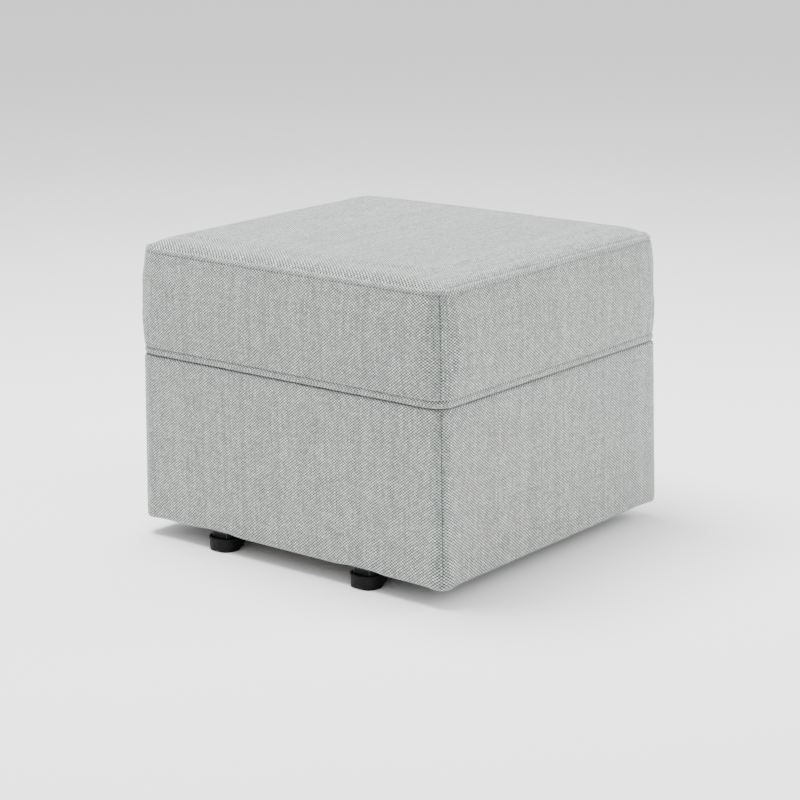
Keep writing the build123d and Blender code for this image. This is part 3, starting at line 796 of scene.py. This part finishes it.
def cushion_faces(points):
    """Quads between the rings and fans at the two middles, with the cloth's UV of each corner."""
    count = len(around)
    faces = []
    uvs = []

    def flat(index):
        return (points[index][0], points[index][1])

    heights = [0.0]
    for first, second in zip(band_profile, band_profile[1:]):
        heights.append(heights[-1] + math.dist(first, second))
    for ring in range(ring_count - 1):
        for column in range(count):
            after = (column + 1) % count
            corners = (cushion_index(ring, column), cushion_index(ring, after),
                       cushion_index(ring + 1, after), cushion_index(ring + 1, column))
            faces.append(corners)
            if first_band_ring <= ring < first_panel_ring - 1:
                left, beyond = cut_span(column, band_shift, band_start)
                low, high = heights[ring - first_band_ring], heights[ring - first_band_ring + 1]
                uvs += [(left, low), (beyond, low), (beyond, high), (left, high)]
            else:
                uvs += [flat(index) for index in corners]
    last = cushion_index(ring_count - 1, 0)
    for column in range(count):
        after = (column + 1) % count
        faces.append((0, 1 + after, 1 + column))
        uvs += [flat(0), flat(1 + after), flat(1 + column)]
        faces.append((len(points) - 1, last + column, last + after))
        uvs += [flat(len(points) - 1), flat(last + column), flat(last + after)]
    return faces, uvs


def cushion_points(worked):
    """Every point of the cushion: the underside's middle, the rings and the crown's middle."""
    points = [(0, 0, deck_top)]
    for ring in cushion_rings(worked):
        points += ring
    return points + [(0, 0, crown_height(0, 0))]


def swell(points, faces, held):
    """How far each point of the cover moves when the filling presses on it, up to the cap."""
    trial = new_piece("cushion_cover_trial", points, faces, tweed)
    sewn = trial.vertex_groups.new(name="sewn")
    sewn.add(held, 1.0, "REPLACE")
    cloth = trial.modifiers.new("cover", "CLOTH")
    cloth.settings.quality = 4
    cloth.settings.mass = 0.3
    cloth.settings.tension_stiffness = 60
    cloth.settings.compression_stiffness = 30
    cloth.settings.shear_stiffness = 20
    cloth.settings.bending_stiffness = 1.0
    cloth.settings.shrink_min = -cover_slack
    cloth.settings.use_pressure = True
    cloth.settings.uniform_pressure_force = filling_pressure
    cloth.settings.vertex_group_mass = "sewn"
    cloth.settings.effector_weights.gravity = 0
    cloth.collision_settings.use_collision = False
    for moment in range(1, cloth_frames + 1):
        bpy.context.scene.frame_set(moment)
    settled = trial.evaluated_get(bpy.context.evaluated_depsgraph_get()).to_mesh()
    moves = [settled.vertices[index].co - Vector(point) for index, point in enumerate(points)]
    bpy.context.scene.frame_set(1)
    bpy.data.objects.remove(trial)
    return [move * min(1.0, swell_cap / max(move.length, swell_cap)) for move in moves]


def freedom(ring):
    """The share of the swelling that a ring takes: none at a seam, all of it further off."""
    if ring < first_panel_ring:
        height = band_profile[ring - first_band_ring][1] if ring >= first_band_ring else boxing_low
        gap = min(height - boxing_low, top_seam - height)
    else:
        gap = panel_share(ring - first_panel_ring) * (half_depth - panel_inset)
    share = min(1.0, max(0.0, gap / seam_hold))
    return share * share * (3 - 2 * share)


def seat_cushion_mesh():
    """The worked cushion, and with it what the plain one moves when it is inflated."""
    points = cushion_points(worked=True)
    faces, uvs = cushion_faces(points)
    sewn_rings = [*range(first_band_ring + held_lip_rings)]
    sewn_rings += range(first_panel_ring - held_top_rings, first_panel_ring + 1)
    held = [0] + [cushion_index(ring, column)
                  for ring in sewn_rings for column in range(len(around))]
    moves = swell(cushion_points(worked=False), faces, held)
    rings = [0] + [ring for ring in range(ring_count) for _ in around] + [ring_count - 1]
    points = [Vector(point) + move * freedom(ring)
              for point, move, ring in zip(points, moves, rings)]
    piece = new_piece("seat_cushion", points, faces, tweed)
    map_cloth(piece, uvs)
    return piece


seat_cushion = seat_cushion_mesh()
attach(seat_cushion, "ottoman")
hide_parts("boxing_band", "top_panel", "seat_wrap", "seat_foam")


# ---- Welts ----
# Piping cord wrapped in a strip of the same cloth and sewn into the seam. Hand feeding leaves it
# slightly fat and thin, and it sits a little in and out.
waist_welt_radius = 6.2 * millimetre
waist_welt_inset = 7.7 * millimetre
waist_welt_height = 274.5 * millimetre
top_welt_radius = 3.8 * millimetre
top_welt_inset = 9 * millimetre
top_welt_height = 418.7 * millimetre
welt_sides = 16
fatness = 0.25 * millimetre
fat_places_per_metre = 60.0
drift = 0.35 * millimetre
drifts_per_metre = 12.0


def welt(name, node, inset, height, welt_radius, seed):
    """A cord of round section carried round the outline at a height."""
    section = []
    for step in range(welt_sides):
        angle = 2 * math.pi * step / welt_sides
        section.append(
            (-inset + welt_radius * math.cos(angle), height + welt_radius * math.sin(angle)))

    def relief(distance, reach, level):
        fat = fatness * noise.noise(Vector((distance * fat_places_per_metre, seed, 0.0)))
        aside = drift * noise.noise(Vector((distance * drifts_per_metre, seed + 5.0, 0.0)))
        return aside + fat * (reach + inset) / welt_radius + corner_pull(distance, level)

    piece = swept(name, section, tweed, relief)
    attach(piece, "ottoman")
    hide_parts(node)


welt("waist_welt_piping", "waist_welt", waist_welt_inset, waist_welt_height, waist_welt_radius,
     seed=2.0)
welt("top_welt_piping", "top_welt", top_welt_inset, top_welt_height, top_welt_radius, seed=9.0)


# ---- Dust cloths ----
# Black spunbonded cambric, stapled over each side bay. It sags a little between its staples.
def cambric_material():
    material, tree, shader = new_material("black_spunbonded_cambric", Roughness=0.95)
    place = add(tree, "ShaderNodeTexCoord").outputs["Object"]
    web = add(tree, "ShaderNodeTexVoronoi", {"Vector": place, "Scale": 900.0})
    tone = add(tree, "ShaderNodeMix", {
        "Factor": web.outputs["Distance"], 6: linear("#0E0E0F"), 7: linear("#29292B")},
        data_type="RGBA")
    bump = add(tree, "ShaderNodeBump", {
        "Height": web.outputs["Distance"], "Strength": 0.5, "Distance": 0.0002})
    tree.links.new(tone.outputs[2], shader.inputs["Base Color"])
    tree.links.new(bump.outputs["Normal"], shader.inputs["Normal"])
    return material


cambric = cambric_material()
cambric_thickness = 0.5 * millimetre
cambric_gap = 0.1 * millimetre
cambric_sag = 4 * millimetre
sag_flatness = 0.6
mean_sag_share = 0.75
ripple_share = 0.35
ripples_across, ripples_along = 3, 14


def dust_cloth(label):
    """One cloth, in the place of its CAD solid and a little below that solid's top."""
    low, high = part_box(f"dust_cover_{label}")
    across, along = 24, 84
    size = high - low
    seed = 40.0 if label == "left" else 50.0
    top = []
    for row in range(along + 1):
        for column in range(across + 1):
            aside, back = column / across, row / along
            hang = (math.sin(math.pi * aside) * math.sin(math.pi * back)) ** sag_flatness
            ripple = noise.noise(Vector((aside * ripples_across, back * ripples_along, seed)))
            drop = cambric_sag * hang * (mean_sag_share + ripple_share * ripple)
            top.append((low.x + size.x * aside, low.y + size.y * back, high.z - cambric_gap - drop))
    below = [(x, y, z - cambric_thickness) for x, y, z in top]
    wide = across + 1
    count = len(top)
    faces = []
    for row in range(along):
        for column in range(across):
            first = row * wide + column
            corners = (first, first + 1, first + 1 + wide, first + wide)
            faces.append(corners)
            faces.append(tuple(count + corners[place] for place in (0, 3, 2, 1)))
    rim = list(range(wide)) + [row * wide + across for row in range(1, along + 1)]
    rim += [along * wide + column for column in range(across - 1, -1, -1)]
    rim += [row * wide for row in range(along - 1, 0, -1)]
    for first, second in zip(rim, rim[1:] + rim[:1]):
        faces.append((first, count + first, count + second, second))
    piece = new_piece(f"dust_cloth_{label}", top + below, faces, cambric)
    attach(piece, "ottoman")
    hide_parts(f"dust_cover_{label}")


for label in ("left", "right"):
    dust_cloth(label)


# ---- Corner stitches ----
# Polyester thread that closes the four corner seams, a stitch every 3.6 mm, sunk in the groove.
stitch_spacing = 3.6 * millimetre
stitch_length = 2.4 * millimetre
stitch_thread = 0.35 * millimetre
stitch_rise = 0.35 * millimetre
bar_sway = 0.06
on_seam = 0.01 * millimetre
lower_seam_height = 222 * millimetre
path_steps = 60


def repeat_tree(material, sides):
    """A tree that sets a short rounded bar along every path, at a named spacing."""
    tree = bpy.data.node_groups.new("bars_along_paths", "GeometryNodeTree")
    face = tree.interface
    face.new_socket("Geometry", in_out="INPUT", socket_type="NodeSocketGeometry")
    for name in ("Spacing", "Length", "Radius"):
        face.new_socket(name, in_out="INPUT", socket_type="NodeSocketFloat")
    face.new_socket("Seed", in_out="INPUT", socket_type="NodeSocketInt")
    face.new_socket("Geometry", in_out="OUTPUT", socket_type="NodeSocketGeometry")
    given = add(tree, "NodeGroupInput").outputs
    path = add(tree, "GeometryNodeMeshToCurve", {"Mesh": given["Geometry"]})
    places = add(tree, "GeometryNodeCurveToPoints", {
        "Curve": path.outputs["Curve"], "Length": given["Spacing"]}, mode="LENGTH")
    bar = add(tree, "GeometryNodeMeshUVSphere", {"Segments": sides, "Rings": 5, "Radius": 1.0})
    half_length = add(tree, "ShaderNodeMath", {0: given["Length"], 1: 0.5}, operation="MULTIPLY")
    thin = add(tree, "ShaderNodeCombineXYZ", {
        "X": given["Radius"], "Y": given["Radius"], "Z": half_length.outputs[0]})
    sway = add(tree, "FunctionNodeRandomValue", {
        0: (-bar_sway, -bar_sway, 0.0), 1: (bar_sway, bar_sway, 0.0), "Seed": given["Seed"]},
        data_type="FLOAT_VECTOR")
    set_bars = add(tree, "GeometryNodeInstanceOnPoints", {
        "Points": places.outputs["Points"], "Instance": bar.outputs["Mesh"],
        "Rotation": places.outputs["Rotation"], "Scale": thin.outputs["Vector"]})
    turned = add(tree, "GeometryNodeRotateInstances", {
        "Instances": set_bars.outputs["Instances"], "Rotation": sway.outputs["Value"]})
    real = add(tree, "GeometryNodeRealizeInstances", {"Geometry": turned.outputs["Instances"]})
    dressed = add(tree, "GeometryNodeSetMaterial", {
        "Geometry": real.outputs["Geometry"], "Material": material})
    add(tree, "NodeGroupOutput", {"Geometry": dressed.outputs["Geometry"]})
    return tree


def bars_along(name, paths, material, sizes, sides=6):
    """A plain mesh of bars set along paths of points."""
    points = [place for path in paths for place in path]
    edges = []
    start = 0
    for path in paths:
        edges += [(start + step, start + step + 1) for step in range(len(path) - 1)]
        start += len(path)
    guide = bpy.data.meshes.new(name + "_guide")
    guide.from_pydata(points, edges, [])
    carrier = bpy.data.objects.new(name + "_guide", guide)
    bpy.context.scene.collection.objects.link(carrier)
    modifier = carrier.modifiers.new("bars", "NODES")
    modifier.node_group = repeat_tree(material, sides)
    for item in modifier.node_group.interface.items_tree:
        if item.in_out == "INPUT" and item.name in sizes:
            modifier[item.identifier] = sizes[item.name]
    bpy.context.view_layer.update()
    evaluated = carrier.evaluated_get(bpy.context.evaluated_depsgraph_get())
    mesh = bpy.data.meshes.new_from_object(evaluated)
    mesh.materials.clear()
    mesh.materials.append(material)
    bpy.data.objects.remove(carrier)
    mesh.name = name
    piece = bpy.data.objects.new(name, mesh)
    bpy.context.scene.collection.objects.link(piece)
    return piece


def thread_material():
    material, tree, shader = new_material("grey_polyester_thread", Roughness=0.6)
    place = add(tree, "ShaderNodeTexCoord").outputs["Object"]
    ply = add(tree, "ShaderNodeTexWave", {"Vector": place, "Scale": 900.0})
    tone = add(tree, "ShaderNodeMix", {
        "Factor": ply.outputs["Fac"], 6: linear("#3C423E"), 7: linear("#565C58")},
        data_type="RGBA")
    tree.links.new(tone.outputs[2], shader.inputs["Base Color"])
    return material


def seam_paths():
    """Two paths for each corner, up the lower cover and up the band, sunk in their grooves."""
    found = []
    for column, (centre, out, distance) in enumerate(around):
        if abs(from_seam(distance)) > on_seam:
            continue
        lower = []
        for step in range(path_steps + 1):
            climb = (lower_seam_height - bottom_radius) * step / path_steps
            height = cover_bottom + bottom_radius + climb
            reach = stitch_rise - body_inset + cover_relief(distance, 0.0, height)
            place = centre + out * (corner_radius + reach)
            lower.append((place.x, place.y, height - hem_fall(place.x, place.y, reach, height)))
        upper = []
        for row in range(len(band_shares)):
            ring = first_band_ring + len(band_lip) + row
            place = seat_cushion.data.vertices[cushion_index(ring, column)].co
            upper.append((place.x + out.x * stitch_rise, place.y + out.y * stitch_rise, place.z))
        found += [lower, upper]
    return found


stitches = bars_along(
    "corner_stitches", seam_paths(), thread_material(),
    {"Spacing": stitch_spacing, "Length": stitch_length, "Radius": stitch_thread, "Seed": 4})
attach(stitches, "ottoman")


# ---- Staples ----
# Galvanised wire staples, one about every 32 mm round the turned-under edge of the cover.
staple_inset = 20.5 * millimetre
staple_spacing = 32 * millimetre
staple_width = 10 * millimetre
staple_radius = 0.5 * millimetre
staple_drop = 0.35 * millimetre


def staple_path():
    loop = []
    for centre, normal, _ in around:
        place = centre + normal * (corner_radius - staple_inset)
        loop.append((place.x, place.y, cover_bottom - staple_drop))
    return [loop + loop[:1]]


def staple_wire():
    material, tree, shader = new_material("galvanised_staple_wire", Metallic=1.0, Roughness=0.38)
    place = add(tree, "ShaderNodeTexCoord").outputs["Object"]
    drawn = add(tree, "ShaderNodeTexNoise", {"Vector": place, "Scale": 600.0})
    tone = add(tree, "ShaderNodeMix", {
        "Factor": drawn.outputs["Fac"], 6: linear("#9A9C9D"), 7: linear("#C2C3C3")},
        data_type="RGBA")
    tree.links.new(tone.outputs[2], shader.inputs["Base Color"])
    return material


staples = bars_along(
    "cover_staples", staple_path(), staple_wire(),
    {"Spacing": staple_spacing, "Length": staple_width, "Radius": staple_radius, "Seed": 7})
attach(staples, "ottoman")
